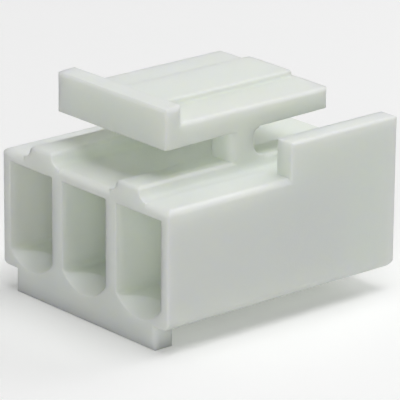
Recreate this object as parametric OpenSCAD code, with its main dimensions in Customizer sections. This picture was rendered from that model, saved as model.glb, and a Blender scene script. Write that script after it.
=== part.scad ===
// Wire to board connector housing: one moulded nylon piece.
// X runs across the circuits, Y from the wire face to the mating face, Z up.
// The origin is under the middle of the housing, level with the lip's underside.

/* [Circuits] */
// Number of contact cavities side by side
circuits = 3; // [3:1:8]
// Distance from one circuit to the next
pitch = 3.96; // [3.8:0.02:4.4]

/* [Body] */
// Length from wire face to mating face
body_l = 14.05; // [13:0.05:18]
// Height of the body over its underside
body_h = 5.8; // [5.2:0.1:7]
// Thickness of the outer side walls
side_wall = 0.53; // [0.4:0.01:0.9]
// Rounding of the long upper edges
edge_r = 0.3; // [0.1:0.05:0.5]
// Rounding of the long lower edges
keel_r = 0.45; // [0.1:0.05:0.5]
// Rounding of the top where it meets the wire face
wire_edge_r = 0.35; // [0.1:0.05:0.5]
// Rounding of the top where it meets the mating face
face_edge_r = 0.45; // [0.1:0.05:0.5]
// Rounding of the upright corners
corner_r = 0.1; // [0.05:0.05:0.3]
// Rounding of the underside where it meets the mating face
nose_r = 0.6; // [0.2:0.05:0.75]

/* [Cavities] */
// Width of a contact cavity
cavity_w = 3.2; // [2.8:0.05:3.4]
// Thickness of the floor under the cavities
floor_t = 0.8; // [0.7:0.05:1.2]
// Thickness of the roof over the cavities
roof_t = 0.55; // [0.4:0.05:0.9]
// Rounding of the cavity's lower corners
cavity_r = 0.25; // [0.1:0.05:0.5]
// Thickness of the wall between the cavities and the mating face
face_wall = 3.2; // [2.4:0.1:4]
// Radius of the wire scoop at a cavity's mouth
scoop_r = 2.2; // [1.9:0.05:3]
// Depth of the scoop below the cavity floor, at the wire face
scoop_drop = 0.7; // [0.3:0.05:0.7]
// Length of the scoop
scoop_l = 1.1; // [0.6:0.05:2]

/* [Mating face] */
// Width of the passage for a header post
passage_w = 1.9; // [1.4:0.05:2.6]
// Height of the passage
passage_h = 2.6; // [1.6:0.05:3.2]
// Lead-in chamfer around the passage
lead_in = 0.35; // [0.1:0.05:0.45]

/* [Contact windows] */
// Width of the window under each contact's locking lance
window_w = 1.8; // [1:0.05:2.4]
// Length of the window
window_l = 2.2; // [1:0.1:3]
// Distance from the wire face to the window
window_y = 7.6; // [6:0.1:7.8]

/* [Lip] */
// Drop of the lip below the body's underside
lip_drop = 1.18; // [0.6:0.02:2]
// Thickness of the lip along Y
lip_t = 1.1; // [0.8:0.05:2]
// Setback of the lip from each side of the body
lip_inset = 0.92; // [0.4:0.02:2]
// Rounding of the lip's lower edges
lip_r = 0.15; // [0.05:0.05:0.35]
// Rounding of the lip's upright corners
lip_corner_r = 0.25; // [0.05:0.05:0.45]

/* [Cheeks] */
// Height of the side cheeks above the body
cheek_h = 1.75; // [1:0.05:2.6]
// Thickness of a cheek
cheek_t = 1.04; // [0.8:0.02:1.5]
// Length of a cheek, back from the mating face
cheek_l = 6.65; // [4:0.05:8]
// Rounding of a cheek's edges
cheek_r = 0.12; // [0.04:0.02:0.3]

/* [Ribs] */
// Width of the two ribs along the top
rib_w = 1.55; // [1:0.05:2]
// Height of the ribs above the body
rib_h = 0.6; // [0.3:0.05:1]
// Fillet along the foot of a rib
rib_fillet = 0.5; // [0.1:0.05:0.55]
// Rounding along the crest of a rib
rib_r = 0.2; // [0.05:0.05:0.25]

/* [Lever] */
// Setback of the lever from each side of the body
lever_inset = 2.14; // [1.8:0.02:2.4]
// Setback of the thumb end from the wire face
lever_front = 1.62; // [0.8:0.02:3]
// Setback of the claw end from the mating face
lever_back = 2.5; // [1:0.02:4]
// Gap between body and lever at the thumb end
lever_gap = 2.0; // [1.4:0.05:3]
// Rise of the lever's underside towards the claw end
lever_rise = 0.14; // [0:0.02:0.4]
// Thickness of the lever at the thumb end
lever_t = 1.14; // [0.9:0.02:1.8]
// Rounding of the lever's edges
lever_r = 0.2; // [0.05:0.05:0.3]

/* [Thumb pad] */
// Length of the thumb pad along Y
pad_l = 1.0; // [0.8:0.05:2]
// Height of the pad above the lever
pad_h = 0.9; // [0.5:0.05:1.6]
// Fall of the pad's crest towards its front
pad_fall = 0.12; // [0:0.02:0.3]
// Rounding of the pad's front crest
pad_r = 0.3; // [0.1:0.05:0.4]
// Rounding of the pad's ends and of its rear corners
pad_end_r = 0.3; // [0.1:0.05:0.4]
// Rounding of the pad's front corners
pad_corner_r = 0.12; // [0.04:0.02:0.3]

/* [Spine] */
// Width of the raised spine along the lever, at half its height
spine_w = 3.15; // [2:0.05:4.5]
// Height of the spine above the lever
spine_h = 0.3; // [0.2:0.02:0.5]

/* [Legs] */
// Distance from the wire face to the legs
leg_y = 5.6; // [4:0.1:6.5]
// Thickness of a leg along Y
leg_t = 1.3; // [1:0.05:1.8]
// Rounding of a leg's outer edge
leg_r = 0.45; // [0.1:0.05:0.45]
// Fillet between a leg and its rib, on the claw side
foot_fillet = 0.75; // [0.3:0.05:0.9]
// Fillet between a leg and the lever, on the claw side
neck_fillet = 0.35; // [0.1:0.05:0.4]

/* [Claw] */
// Width of the locking claw under the lever's end
claw_w = 4.6; // [3:0.1:5]
// Length of the claw
claw_l = 0.9; // [0.6:0.05:1.4]
// Depth of the claw below the lever
claw_h = 0.55; // [0.3:0.05:0.9]

/* [Hidden] */
$fn = 48;
over = 0.2;
nylon = [0.93, 0.94, 0.91];

body_w = (circuits - 1) * pitch + cavity_w + 2 * side_wall;
cavity_top = body_h - roof_t;
cavity_l = body_l - face_wall;
passage_z = (floor_t + cavity_top) / 2;
rib_top = body_h + rib_h;
cheek_top = body_h + cheek_h;
lever_w = body_w - 2 * lever_inset;
lever_tip = body_l - lever_back;
lever_low = body_h + lever_gap;
lever_top = lever_low + lever_t;
tip_low = lever_low + lever_rise;
pad_top = lever_top + pad_h;

// Carries an outline drawn in X and Z along Y
module along_y(from, to) {
    translate([0, to, 0])
        rotate([90, 0, 0])
            linear_extrude(to - from)
                children();
}

// Carries an outline drawn in Y and Z along X
module along_x(from, to) {
    translate([from, 0, 0])
        rotate([90, 0, 90])
            linear_extrude(to - from)
                children();
}

// What is taken off an outer corner at the origin, with the material towards -x -y
module corner_waste(r) {
    difference() {
        translate([-r, -r])
            square(r + over);
        translate([-r, -r])
            circle(r);
    }
}

// What fills an inner corner at the origin, with the open side towards +x +y
module corner_fill(r) {
    difference() {
        translate([-over, -over])
            square(r + over);
        translate([r, r])
            circle(r);
    }
}

// Rectangle from one corner to the other, with radii in the order
// low left, low right, top right, top left
module soft_rect(low, high, radii) {
    difference() {
        translate(low)
            square(high - low);
        translate(low)
            rotate(180)
                corner_waste(radii[0]);
        translate([high[0], low[1]])
            rotate(270)
                corner_waste(radii[1]);
        translate(high)
            corner_waste(radii[2]);
        translate([low[0], high[1]])
            rotate(90)
                corner_waste(radii[3]);
    }
}

// The same things at both sides of the middle
module both_sides() {
    children();
    mirror([1, 0, 0])
        children();
}

// The same thing at every circuit
module each_circuit() {
    for (i = [0 : circuits - 1])
        translate([(i - (circuits - 1) / 2) * pitch, 0, 0])
            children();
}

// Block that holds the cavities, rounded along and across
module block() {
    intersection() {
        along_y(0, body_l)
            soft_rect([-body_w / 2, 0], [body_w / 2, body_h], [keel_r, keel_r, edge_r, edge_r]);
        along_x(-body_w / 2, body_w / 2)
            soft_rect([0, 0], [body_l, body_h], [corner_r, nose_r, face_edge_r, wire_edge_r]);
        linear_extrude(body_h)
            soft_rect([-body_w / 2, 0], [body_w / 2, body_l], [corner_r, corner_r, corner_r, corner_r]);
    }
}

// Lip under the wire face
module lip() {
    lip_half = body_w / 2 - lip_inset;
    upright = lip_corner_r;
    intersection() {
        along_y(0, lip_t)
            soft_rect([-lip_half, -lip_drop], [lip_half, floor_t / 2], [lip_r, lip_r, lip_r, lip_r]);
        along_x(-lip_half, lip_half)
            soft_rect([0, -lip_drop], [lip_t, floor_t / 2], [lip_r, lip_r, lip_r, lip_r]);
        translate([0, 0, -lip_drop])
            linear_extrude(lip_drop + floor_t / 2)
                soft_rect([-lip_half, 0], [lip_half, lip_t], [upright, upright, lip_r, lip_r]);
    }
}

// Rib on one side of the top, flush with the lever's side
module rib() {
    outer = lever_w / 2;
    inner = outer - rib_w;
    intersection() {
        along_y(0, body_l) {
            soft_rect([inner, cavity_top], [outer, rib_top], [0.01, 0.01, rib_r, rib_r]);
            translate([inner - rib_fillet, cavity_top])
                square([rib_w + 2 * rib_fillet, roof_t]);
            translate([outer, body_h])
                corner_fill(rib_fillet);
            translate([inner, body_h])
                mirror([1, 0, 0])
                    corner_fill(rib_fillet);
        }
        along_x(inner - rib_fillet, outer + rib_fillet)
            soft_rect([0, cavity_top], [body_l, rib_top], [0.01, 0.01, rib_r, rib_r]);
    }
}

// Cheek beside the claw end of the lever
module cheek() {
    inner = body_w / 2 - cheek_t;
    start = body_l - cheek_l;
    low = body_h - 2 * edge_r;
    intersection() {
        along_y(start, body_l)
            soft_rect([inner, low], [body_w / 2, cheek_top], [0.01, 0.01, cheek_r, cheek_r / 2]);
        along_x(inner, body_w / 2)
            soft_rect([start, low], [body_l, cheek_top], [0.01, 0.01, cheek_r, cheek_r / 2]);
        linear_extrude(cheek_top)
            soft_rect([inner, start], [body_w / 2, body_l], [0.05, cheek_r, corner_r, 0.05]);
    }
}

// Arm of the lever, thinner towards the claw end
module arm() {
    half = lever_w / 2;
    intersection() {
        along_x(-half, half)
            polygon([
                [lever_front, lever_low],
                [lever_tip, tip_low],
                [lever_tip, lever_top],
                [lever_front, lever_top]
            ]);
        along_y(lever_front, lever_tip)
            soft_rect([-half, lever_low - over], [half, lever_top], [0.01, 0.01, lever_r, lever_r]);
        linear_extrude(pad_top)
            soft_rect([-half, lever_front], [half, lever_tip],
                [pad_corner_r, pad_corner_r, lever_r, lever_r]);
    }
}

// Pad that the thumb presses, with a crest that falls towards its front
module thumb_pad() {
    half = lever_w / 2;
    rear = lever_front + pad_l;
    intersection() {
        along_x(-half, half)
            difference() {
                soft_rect([lever_front, lever_low], [rear, pad_top], [lever_r, 0.01, lever_r, pad_r]);
                translate([rear, pad_top])
                    rotate(atan(pad_fall / pad_l))
                        translate([-2 * pad_l, 0])
                            square([2 * pad_l, pad_h]);
            }
        along_y(lever_front, rear)
            soft_rect([-half, lever_low - over], [half, pad_top], [0.01, 0.01, pad_end_r, pad_end_r]);
        linear_extrude(pad_top)
            soft_rect([-half, lever_front], [half, rear],
                [pad_corner_r, pad_corner_r, pad_end_r, pad_end_r]);
    }
}

// Raised spine along the middle of the lever, with sides that swing down to the lever
module spine() {
    bend = spine_h / 2;
    along_y(lever_front + pad_l / 2, lever_tip - lever_r) {
        soft_rect([-spine_w / 2, lever_top - lever_t / 2], [spine_w / 2, lever_top + spine_h],
            [0.01, 0.01, bend, bend]);
        translate([spine_w / 2, lever_top])
            corner_fill(bend);
        translate([-spine_w / 2, lever_top])
            mirror([1, 0])
                corner_fill(bend);
    }
}

// Leg that joins a rib to the lever, with its fillets on the claw side
module leg() {
    outer = lever_w / 2;
    inner = outer - rib_w;
    leg_back = leg_y + leg_t;
    low = rib_top - rib_h / 2;
    translate([0, 0, low])
        linear_extrude(lever_low + lever_t / 2 - low)
            soft_rect([inner, leg_y], [outer, leg_back], [lever_r, leg_r, 0.01, 0.01]);
    along_x(inner, outer) {
        translate([leg_back, rib_top])
            corner_fill(foot_fillet);
        translate([leg_back, lever_low])
            mirror([0, 1])
                corner_fill(neck_fillet);
    }
}

// Claw under the lever's end: a steep catch and a sloped lead-in
module claw() {
    along_x(-claw_w / 2, claw_w / 2)
        polygon([
            [lever_tip - claw_l, tip_low + lever_t / 2],
            [lever_tip - claw_l, tip_low - claw_h],
            [lever_tip - 0.6 * claw_l, tip_low - claw_h],
            [lever_tip - lever_r, tip_low],
            [lever_tip - lever_r, tip_low + lever_t / 2]
        ]);
}

// Cavity that takes one contact, with the scoop at its mouth
module cavity() {
    half = cavity_w / 2;
    tilt = atan(scoop_drop / scoop_l);
    along_y(-over, cavity_l)
        soft_rect([-half, floor_t], [half, cavity_top], [cavity_r, cavity_r, 0.05, 0.05]);
    intersection() {
        translate([0, 0, floor_t - scoop_drop])
            rotate([tilt - 90, 0, 0])
                translate([0, -scoop_r, -scoop_l])
                    cylinder(r = scoop_r, h = 4 * scoop_l);
        translate([-half, -over, 0])
            cube([cavity_w, 2 * scoop_l + over, passage_z]);
    }
}

// Passage for a header post, wider at the mating face
module passage() {
    wide = passage_w / 2;
    tall = passage_h / 2;
    translate([-wide, cavity_l - over, passage_z - tall])
        cube([passage_w, face_wall + 2 * over, passage_h]);
    intersection() {
        translate([0, 0, passage_z - passage_h])
            linear_extrude(2 * passage_h)
                polygon([
                    [-wide, body_l - lead_in],
                    [wide, body_l - lead_in],
                    [wide + lead_in, body_l],
                    [wide + lead_in, body_l + over],
                    [-wide - lead_in, body_l + over],
                    [-wide - lead_in, body_l]
                ]);
        along_x(-passage_w, passage_w)
            polygon([
                [body_l - lead_in, passage_z - tall],
                [body_l, passage_z - tall - lead_in],
                [body_l + over, passage_z - tall - lead_in],
                [body_l + over, passage_z + tall + lead_in],
                [body_l, passage_z + tall + lead_in],
                [body_l - lead_in, passage_z + tall]
            ]);
    }
}

// Window in the underside, behind the contact's locking lance
module window() {
    translate([-window_w / 2, window_y, -over])
        cube([window_w, window_l, floor_t + 2 * over]);
}

module housing() {
    color(nylon)
        translate([0, -body_l / 2, lip_drop]) {
            difference() {
                union() {
                    block();
                    lip();
                    both_sides() {
                        rib();
                        cheek();
                    }
                }
                each_circuit() {
                    cavity();
                    passage();
                    window();
                }
            }
            arm();
            thumb_pad();
            spine();
            claw();
            both_sides()
                leg();
        }
}

housing();
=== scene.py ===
import bpy
import math
from mathutils import Matrix, Vector


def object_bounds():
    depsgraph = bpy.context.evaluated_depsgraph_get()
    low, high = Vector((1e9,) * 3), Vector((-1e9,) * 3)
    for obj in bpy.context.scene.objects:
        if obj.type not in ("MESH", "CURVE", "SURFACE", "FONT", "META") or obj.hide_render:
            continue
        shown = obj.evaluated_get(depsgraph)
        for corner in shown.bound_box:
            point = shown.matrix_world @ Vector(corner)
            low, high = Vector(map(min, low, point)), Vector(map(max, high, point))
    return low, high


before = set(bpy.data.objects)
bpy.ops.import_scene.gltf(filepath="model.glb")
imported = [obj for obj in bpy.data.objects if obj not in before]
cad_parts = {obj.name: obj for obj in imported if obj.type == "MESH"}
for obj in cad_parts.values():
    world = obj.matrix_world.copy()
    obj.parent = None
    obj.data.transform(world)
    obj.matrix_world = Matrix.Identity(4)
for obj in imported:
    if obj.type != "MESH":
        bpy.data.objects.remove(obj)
cadLow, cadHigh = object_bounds()
print("frame loaded:", sorted(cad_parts))

mm = 0.001


def groupTree(name, inputs, outputs):
    tree = bpy.data.node_groups.new(name, "ShaderNodeTree")
    for label, kind, value in inputs:
        socket = tree.interface.new_socket(name=label, in_out="INPUT", socket_type=kind)
        if value is not None:
            socket.default_value = value
    for label, kind in outputs:
        tree.interface.new_socket(name=label, in_out="OUTPUT", socket_type=kind)
    source = tree.nodes.new("NodeGroupInput")
    source.location = (-900, 0)
    sink = tree.nodes.new("NodeGroupOutput")
    sink.location = (700, 0)
    return tree, source, sink


def noiseNode(tree, place, detail, roughness):
    node = tree.nodes.new("ShaderNodeTexNoise")
    node.location = place
    node.inputs["Detail"].default_value = detail
    node.inputs["Roughness"].default_value = roughness
    return node


def mathNode(tree, place, operation, value=0.0):
    node = tree.nodes.new("ShaderNodeMath")
    node.location = place
    node.operation = operation
    node.inputs[1].default_value = value
    return node


def rangeNode(tree, place, low, high):
    node = tree.nodes.new("ShaderNodeMapRange")
    node.location = place
    node.inputs["To Min"].default_value = low
    node.inputs["To Max"].default_value = high
    return node


# cloudy tone of natural nylon: broad patches with a little fine haze over them
def mouldedToneGroup():
    tree, source, sink = groupTree(
        "mouldedTone",
        [
            ("Colour", "NodeSocketColor", (0.8, 0.8, 0.8, 1)),
            ("Warm Colour", "NodeSocketColor", (0.8, 0.8, 0.7, 1)),
            ("Patch Size", "NodeSocketFloat", 0.004),
            ("Patch Amount", "NodeSocketFloat", 0.3),
        ],
        [("Colour", "NodeSocketColor"), ("Patch", "NodeSocketFloat")],
    )
    place = tree.nodes.new("ShaderNodeTexCoord")
    place.location = (-900, -250)
    scale = mathNode(tree, (-700, 100), "DIVIDE")
    scale.inputs[0].default_value = 1.0
    patch = noiseNode(tree, (-500, 0), 3.0, 0.55)
    lift = rangeNode(tree, (-300, 0), 0.0, 1.0)
    lift.inputs["From Min"].default_value = 0.35
    lift.inputs["From Max"].default_value = 0.65
    amount = mathNode(tree, (-100, 0), "MULTIPLY")
    mix = tree.nodes.new("ShaderNodeMix")
    mix.location = (200, 0)
    mix.data_type = "RGBA"
    link = tree.links.new
    link(source.outputs["Patch Size"], scale.inputs[1])
    link(place.outputs["Object"], patch.inputs["Vector"])
    link(scale.outputs[0], patch.inputs["Scale"])
    link(patch.outputs["Fac"], lift.inputs["Value"])
    link(lift.outputs["Result"], amount.inputs[0])
    link(source.outputs["Patch Amount"], amount.inputs[1])
    link(amount.outputs[0], mix.inputs["Factor"])
    link(source.outputs["Colour"], mix.inputs["A"])
    link(source.outputs["Warm Colour"], mix.inputs["B"])
    link(mix.outputs["Result"], sink.inputs["Colour"])
    link(lift.outputs["Result"], sink.inputs["Patch"])
    return tree


# spark-eroded mould skin: a fine grain, and slow waves where the plastic has sunk
def mouldSkinGroup():
    tree, source, sink = groupTree(
        "mouldSkin",
        [
            ("Grain Size", "NodeSocketFloat", 0.00008),
            ("Grain Depth", "NodeSocketFloat", 0.000002),
            ("Wave Size", "NodeSocketFloat", 0.003),
            ("Wave Depth", "NodeSocketFloat", 0.00001),
            ("Edge Radius", "NodeSocketFloat", 0.0001),
            ("Smooth", "NodeSocketFloat", 0.35),
            ("Rough", "NodeSocketFloat", 0.55),
        ],
        [("Normal", "NodeSocketVector"), ("Roughness", "NodeSocketFloat")],
    )
    place = tree.nodes.new("ShaderNodeTexCoord")
    place.location = (-900, -300)
    link = tree.links.new
    heights = []
    for row, (size, detail) in enumerate([("Grain Size", 2.0), ("Wave Size", 1.0)]):
        scale = mathNode(tree, (-700, 200 - 250 * row), "DIVIDE")
        scale.inputs[0].default_value = 1.0
        noise = noiseNode(tree, (-500, 200 - 250 * row), detail, 0.5)
        link(source.outputs[size], scale.inputs[1])
        link(scale.outputs[0], noise.inputs["Scale"])
        link(place.outputs["Object"], noise.inputs["Vector"])
        heights.append(noise.outputs["Fac"])
    edge = tree.nodes.new("ShaderNodeBevel")
    edge.location = (-300, -350)
    edge.samples = 6
    waveBump = tree.nodes.new("ShaderNodeBump")
    waveBump.location = (0, -100)
    grainBump = tree.nodes.new("ShaderNodeBump")
    grainBump.location = (300, 0)
    sheen = rangeNode(tree, (0, 250), 0.35, 0.55)
    sheen.inputs["From Min"].default_value = 0.3
    sheen.inputs["From Max"].default_value = 0.7
    link(source.outputs["Edge Radius"], edge.inputs["Radius"])
    link(edge.outputs["Normal"], waveBump.inputs["Normal"])
    link(heights[1], waveBump.inputs["Height"])
    link(source.outputs["Wave Depth"], waveBump.inputs["Distance"])
    link(waveBump.outputs["Normal"], grainBump.inputs["Normal"])
    link(heights[0], grainBump.inputs["Height"])
    link(source.outputs["Grain Depth"], grainBump.inputs["Distance"])
    link(heights[0], sheen.inputs["Value"])
    link(source.outputs["Smooth"], sheen.inputs["To Min"])
    link(source.outputs["Rough"], sheen.inputs["To Max"])
    link(grainBump.outputs["Normal"], sink.inputs["Normal"])
    link(sheen.outputs["Result"], sink.inputs["Roughness"])
    return tree


# what can be changed on the nylon
nylonLook = {
    "ior": 1.52,
    "colour": (0.80, 0.845, 0.80, 1),
    "warmColour": (0.82, 0.85, 0.77, 1),
    "patchSize": 4.0 * mm,
    "patchAmount": 0.5,
    "grainSize": 0.09 * mm,
    "grainDepth": 0.004 * mm,
    "waveSize": 2.6 * mm,
    "waveDepth": 0.03 * mm,
    "edgeRadius": 0.12 * mm,
    "smooth": 0.36,
    "rough": 0.52,
    "glowDepth": 1.5 * mm,
    "glowRadius": (1.0, 1.0, 0.8),
    "throughColour": (0.93, 0.96, 0.90, 1),
    "throughShare": 0.6,
}


def nylonMaterial(look):
    material = bpy.data.materials.new("naturalNylon")
    material.use_nodes = True
    tree = material.node_tree
    tree.nodes.clear()
    out = tree.nodes.new("ShaderNodeOutputMaterial")
    out.location = (700, 0)
    shader = tree.nodes.new("ShaderNodeBsdfPrincipled")
    shader.location = (200, 0)
    tone = tree.nodes.new("ShaderNodeGroup")
    tone.node_tree = mouldedToneGroup()
    tone.location = (-200, 150)
    tone.inputs["Colour"].default_value = look["colour"]
    tone.inputs["Warm Colour"].default_value = look["warmColour"]
    tone.inputs["Patch Size"].default_value = look["patchSize"]
    tone.inputs["Patch Amount"].default_value = look["patchAmount"]
    skin = tree.nodes.new("ShaderNodeGroup")
    skin.node_tree = mouldSkinGroup()
    skin.location = (-200, -150)
    for socket, key in [
        ("Grain Size", "grainSize"), ("Grain Depth", "grainDepth"),
        ("Wave Size", "waveSize"), ("Wave Depth", "waveDepth"),
        ("Edge Radius", "edgeRadius"), ("Smooth", "smooth"), ("Rough", "rough"),
    ]:
        skin.inputs[socket].default_value = look[key]
    shader.inputs["IOR"].default_value = look["ior"]
    shader.inputs["Subsurface Weight"].default_value = 1.0
    shader.inputs["Subsurface Scale"].default_value = look["glowDepth"]
    shader.inputs["Subsurface Radius"].default_value = look["glowRadius"]
    link = tree.links.new
    link(tone.outputs["Colour"], shader.inputs["Base Color"])
    link(skin.outputs["Roughness"], shader.inputs["Roughness"])
    link(skin.outputs["Normal"], shader.inputs["Normal"])
    # light that has already bounced also passes through the thin walls
    through = tree.nodes.new("ShaderNodeBsdfTranslucent")
    through.location = (200, -450)
    through.inputs["Color"].default_value = look["throughColour"]
    path = tree.nodes.new("ShaderNodeLightPath")
    path.location = (-200, 500)
    share = mathNode(tree, (200, 300), "MULTIPLY", look["throughShare"])
    both = tree.nodes.new("ShaderNodeMixShader")
    both.location = (500, 0)
    link(path.outputs["Is Diffuse Ray"], share.inputs[0])
    link(share.outputs[0], both.inputs["Fac"])
    link(shader.outputs["BSDF"], both.inputs[1])
    link(through.outputs["BSDF"], both.inputs[2])
    link(both.outputs["Shader"], out.inputs["Surface"])
    return material


nylon = nylonMaterial(nylonLook)
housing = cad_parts["housing"]
for slot in housing.material_slots:
    slot.material = nylon
print("nylon on the housing")


# pale floor, which the camera sees a little brighter than its light makes it
floorLook = {
    "half": 600 * mm,
    "colour": (0.80, 0.80, 0.80, 1),
    "cameraLift": 0.25,
}


def floorMaterial(look):
    material = bpy.data.materials.new("paleFloor")
    material.use_nodes = True
    tree = material.node_tree
    tree.nodes.clear()
    out = tree.nodes.new("ShaderNodeOutputMaterial")
    diffuse = tree.nodes.new("ShaderNodeBsdfDiffuse")
    diffuse.inputs["Color"].default_value = look["colour"]
    glow = tree.nodes.new("ShaderNodeEmission")
    seen = tree.nodes.new("ShaderNodeLightPath")
    lift = mathNode(tree, (0, 0), "MULTIPLY", look["cameraLift"])
    both = tree.nodes.new("ShaderNodeAddShader")
    link = tree.links.new
    link(seen.outputs["Is Camera Ray"], lift.inputs[0])
    link(lift.outputs[0], glow.inputs["Strength"])
    link(diffuse.outputs[0], both.inputs[0])
    link(glow.outputs[0], both.inputs[1])
    link(both.outputs[0], out.inputs["Surface"])
    return material


half = floorLook["half"]
floorMesh = bpy.data.meshes.new("floor")
floorMesh.from_pydata(
    [(-half, -half, 0), (half, -half, 0), (half, half, 0), (-half, half, 0)], [], [(0, 1, 2, 3)]
)
floor = bpy.data.objects.new("floor", floorMesh)
floor.location.z = cadLow.z
floorMesh.materials.append(floorMaterial(floorLook))
bpy.context.scene.collection.objects.link(floor)

# the sky hardly lights the part, but camera and glossy rays see it white
worldLook = {"colour": (1, 1, 1, 1), "ambient": 0.02, "seen": 1.0}
world = bpy.data.worlds.new("studio")
world.use_nodes = True
tree = world.node_tree
tree.nodes.clear()
out = tree.nodes.new("ShaderNodeOutputWorld")
sky = tree.nodes.new("ShaderNodeBackground")
sky.inputs["Color"].default_value = worldLook["colour"]
seen = tree.nodes.new("ShaderNodeLightPath")
direct = mathNode(tree, (0, 0), "MAXIMUM")
strength = rangeNode(tree, (200, 0), worldLook["ambient"], worldLook["seen"])
tree.links.new(seen.outputs["Is Camera Ray"], direct.inputs[0])
tree.links.new(seen.outputs["Is Glossy Ray"], direct.inputs[1])
tree.links.new(direct.outputs[0], strength.inputs["Value"])
tree.links.new(strength.outputs["Result"], sky.inputs["Strength"])
tree.links.new(sky.outputs[0], out.inputs["Surface"])
bpy.context.scene.world = world
print("floor and world made")


# lamps: each has its place seen from the part's middle, its size and its power
lampLook = {
    "overhead": {"place": (60, 20, 320), "size": 260, "power": 0.70},
    "behind": {"place": (0, 250, 220), "size": 200, "power": 0.27},
    "fill": {"place": (228, -196, 100), "size": 150, "power": 0.20},
    "front": {"place": (60, -320, 60), "size": 200, "power": 0.15},
}
middle = (cadLow + cadHigh) / 2
for name, look in lampLook.items():
    data = bpy.data.lights.new(name, "AREA")
    data.shape = "DISK"
    data.size = look["size"] * mm
    data.energy = look["power"]
    lamp = bpy.data.objects.new(name, data)
    lamp.location = middle + Vector(look["place"]) * mm
    aim = middle - lamp.location
    lamp.rotation_euler = aim.to_track_quat("-Z", "Y").to_euler()
    bpy.context.scene.collection.objects.link(lamp)
print("lamps made")


# camera: angles in degrees, lengths in millimetres
cameraLook = {
    "azimuth": 49.323,
    "elevation": 18.849,
    "roll": 0.508,
    "distance": 171.549,
    "target": (0.0615, 0.0, 4.461),
    "lens": 325.65,
    "sensor": 36,
    "nearest": 1,
    "farthest": 10000,
}


def cameraPlace(look):
    turn = math.radians(look["azimuth"])
    rise = math.radians(look["elevation"])
    roll = math.radians(look["roll"])
    outward = math.cos(rise)
    back = Vector((math.sin(turn) * outward, -math.cos(turn) * outward, math.sin(rise)))
    flat = Vector((math.cos(turn), math.sin(turn), 0))
    upright = back.cross(flat)
    right = flat * math.cos(roll) + upright * math.sin(roll)
    up = upright * math.cos(roll) - flat * math.sin(roll)
    place = (Vector(look["target"]) + back * look["distance"]) * mm
    matrix = Matrix((right, up, back)).transposed().to_4x4()
    matrix.translation = place
    return matrix


cameraData = bpy.data.cameras.new("camera")
cameraData.lens = cameraLook["lens"]
cameraData.sensor_width = cameraLook["sensor"]
cameraData.clip_start = cameraLook["nearest"] * mm
cameraData.clip_end = cameraLook["farthest"] * mm
camera = bpy.data.objects.new("camera", cameraData)
camera.matrix_world = cameraPlace(cameraLook)
bpy.context.scene.collection.objects.link(camera)
bpy.context.scene.camera = camera

bpy.context.scene.view_settings.view_transform = "Standard"

print("camera placed")
